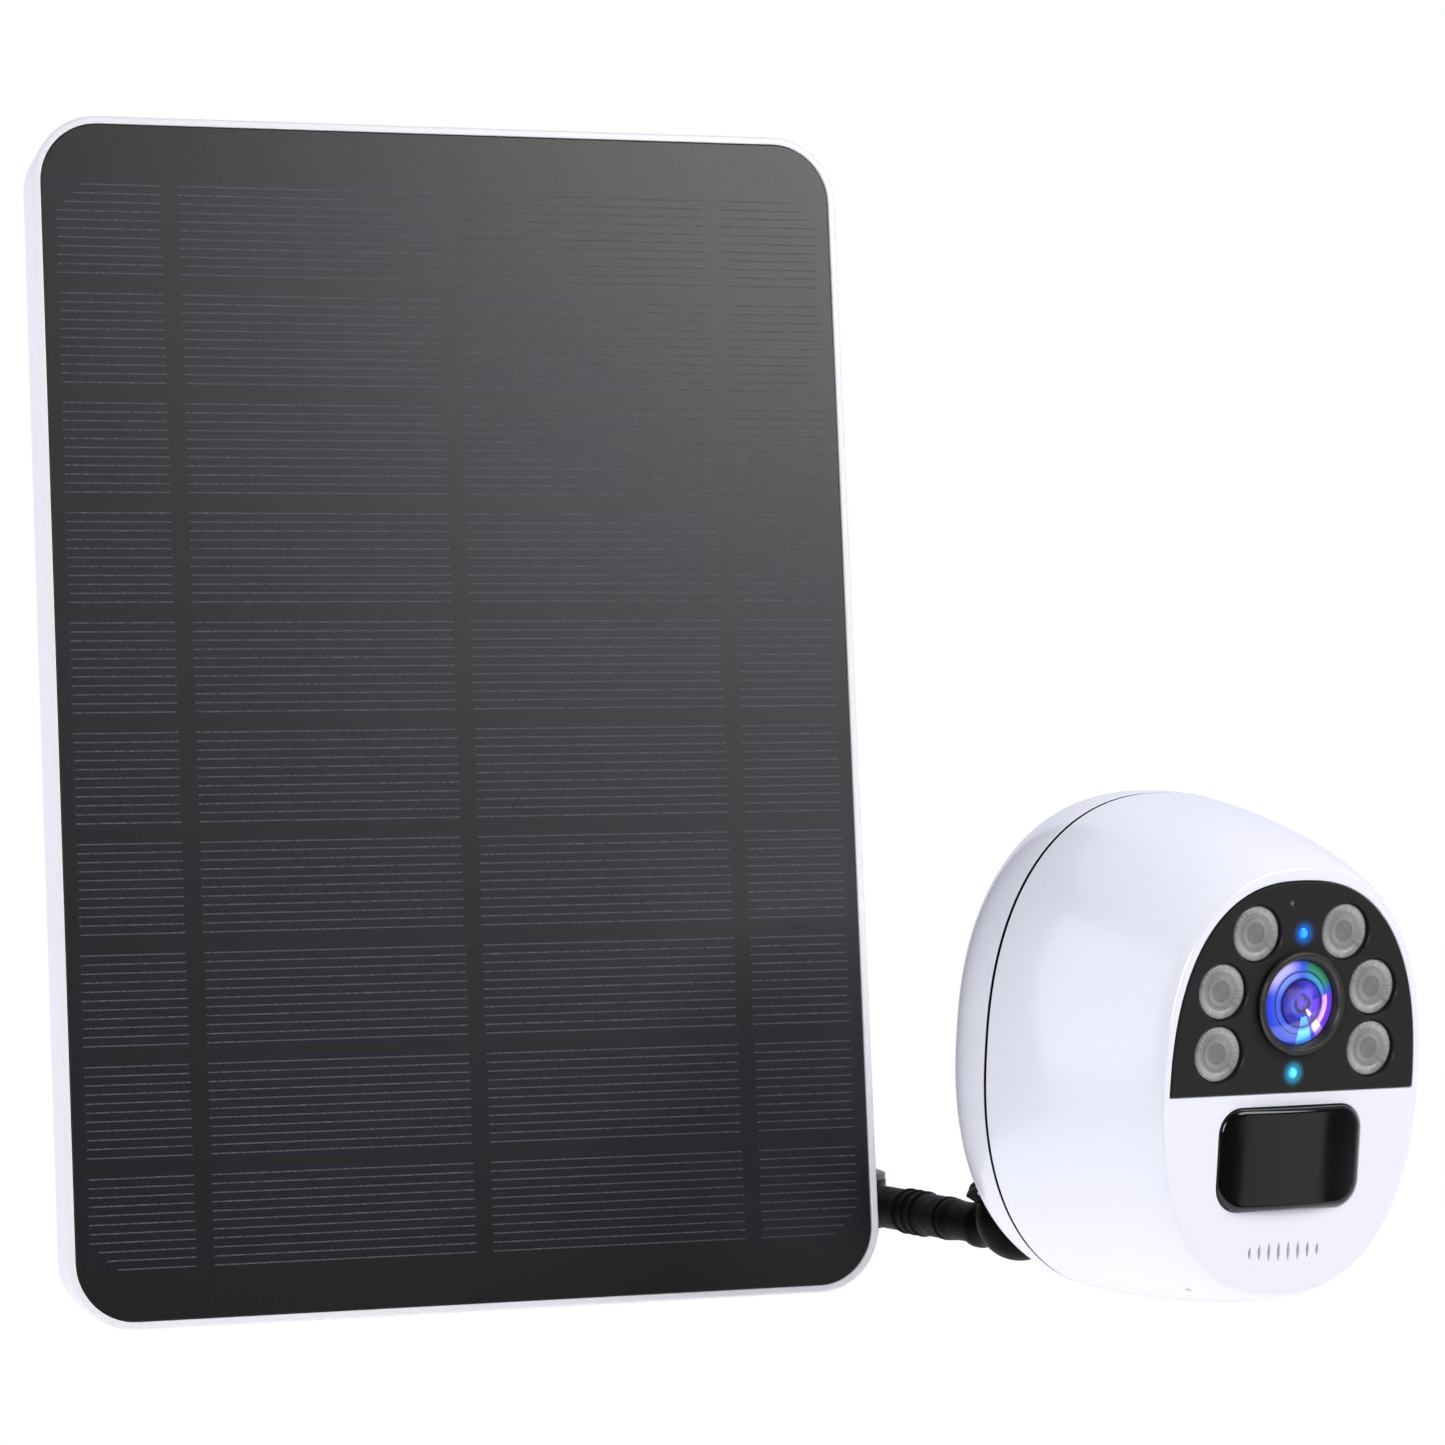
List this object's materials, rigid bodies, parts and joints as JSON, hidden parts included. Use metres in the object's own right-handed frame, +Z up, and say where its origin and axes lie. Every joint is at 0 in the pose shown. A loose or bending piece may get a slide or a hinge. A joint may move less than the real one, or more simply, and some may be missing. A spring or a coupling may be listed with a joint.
{
  "type": "solar-powered security camera",
  "caption": "Egg-shaped outdoor camera on a jointed arm beside a tilting solar panel, both held by one wall bracket.",
  "frame": {"origin": "centre of the wall plate's back face, between its screw holes", "axes": "+Y into the wall, +Z up, +X to the right as seen from the front"},
  "size_m": [0.2091, 0.2016, 0.2109],
  "materials": {
    "bracket_black": "satin black powder coat",
    "tray_white": "satin white",
    "sheet_dark": "fine-grained charcoal laminate",
    "cell_blue": "dark blue silicon",
    "ribbon_copper": "tinned copper ribbon",
    "board_green": "circuit board",
    "box_white": "satin white",
    "socket_black": "fine matte black",
    "screw_steel": "bright zinc",
    "knob_black": "fine matte black",
    "arm_black": "satin black",
    "grip_rubber": "matte black rubber",
    "ring_bright": "bright",
    "cap_pale": "satin pinkish grey",
    "ball_steel": "dark burnished steel",
    "shell_white": "glossy white",
    "seal_black": "matte black rubber",
    "insert_brass": "plain brass",
    "window_black": "polished black",
    "ring_grey": "satin grey-brown",
    "lens_clear": "coated lens",
    "barrel_black": "matte black",
    "lamp_frost": "frosted light grey",
    "chip_yellow": "phosphor yellow",
    "board_white": "white circuit board",
    "light_blue": "glowing sky blue",
    "sensor_grey": "dark clear resin",
    "can_steel": "plated steel can",
    "speaker_black": "matte black",
    "cell_wrap": "blue shrink sleeve",
    "button_grey": "satin light grey",
    "flap_grey": "soft light grey rubber"
  },
  "bodies": {
    "bracket": {"wall_plate": "bracket_black", "panel_post": "bracket_black", "side_strut": "bracket_black", "arm_fork": "bracket_black", "pivot_screw": "screw_steel", "pivot_cap": "cap_pale"},
    "panel": {"panel_tray": "tray_white", "front_sheet": "sheet_dark", "solar_cells": "cell_blue", "cell_ribbons": "ribbon_copper", "panel_board": "board_green", "junction_box": "box_white", "junction_lid": "box_white", "charge_board": "board_green", "output_socket": "socket_black", "junction_screws": "screw_steel", "panel_ears": "bracket_black", "ear_screws": "screw_steel", "tilt_bolt": "screw_steel"},
    "tilt_knob": {"tilt_knob": "knob_black"},
    "arm": {"arm_stem": "arm_black", "grip_sleeve": "grip_rubber", "socket_ring": "ring_bright", "clamp_screw": "screw_steel"},
    "ball": {"ball_stud": "ball_steel", "lock_nut": "screw_steel", "mount_pad": "knob_black"},
    "camera": {"front_shell": "shell_white", "rear_cover": "shell_white", "seam_seal": "seal_black", "thread_insert": "insert_brass", "case_screws": "screw_steel", "front_window": "window_black", "lens_ring": "ring_grey", "lens_glass": "lens_clear", "lens_barrel": "barrel_black", "image_sensor": "board_green", "lamp_lenses": "lamp_frost", "lamp_chips": "chip_yellow", "lamp_board": "board_white", "status_lights": "light_blue", "light_sensor": "sensor_grey", "pir_window": "window_black", "pir_sensor": "can_steel", "speaker": "speaker_black", "microphone": "can_steel", "main_board": "board_green", "wifi_antenna": "speaker_black", "battery_cells": "cell_wrap", "battery_holder": "speaker_black", "button_switch": "speaker_black", "usb_port": "can_steel"},
    "power_button": {"power_button": "button_grey"},
    "port_flap": {"port_flap": "flap_grey"}
  },
  "joints": [
    {"name": "panel_tilt", "type": "hinge", "parent": "bracket", "child": "panel", "pos_m": [0, -0.0462, 0.03133], "axis": [-1, 0, 0], "range_deg": [-6, 20]},
    {"name": "tilt_knob_spin", "type": "hinge", "parent": "panel", "child": "tilt_knob", "pos_m": [0, -0.0462, 0.03133], "axis": [1, 0, 0], "continuous": true},
    {"name": "arm_pan", "type": "hinge", "parent": "bracket", "child": "arm", "pos_m": [0.0834, -0.0662, -0.0575], "axis": [0, 0, 1], "range_deg": [-8, 60]},
    {"name": "ball_tilt", "type": "hinge", "parent": "arm", "child": "ball", "pos_m": [0.09171, -0.11753, -0.0549], "axis": [0.9871, 0.1599, 0], "range_deg": [-20, 20]},
    {"name": "camera_spin", "type": "hinge", "parent": "ball", "child": "camera", "pos_m": [0.09171, -0.11753, -0.0549], "axis": [0.1402, -0.8659, 0.4802], "range_deg": [-90, 90]},
    {"name": "power_button_press", "type": "slide", "parent": "camera", "child": "power_button", "axis": [0.1529, -0.9854, -0.0749], "range_m": [0, 0.0006], "stiffness_N_per_m": 2000},
    {"name": "port_flap_swing", "type": "hinge", "parent": "camera", "child": "port_flap", "pos_m": [0.09487, -0.13447, -0.00726], "axis": [0.988, 0.1541, -0.0107], "range_deg": [0, 75]}
  ]
}
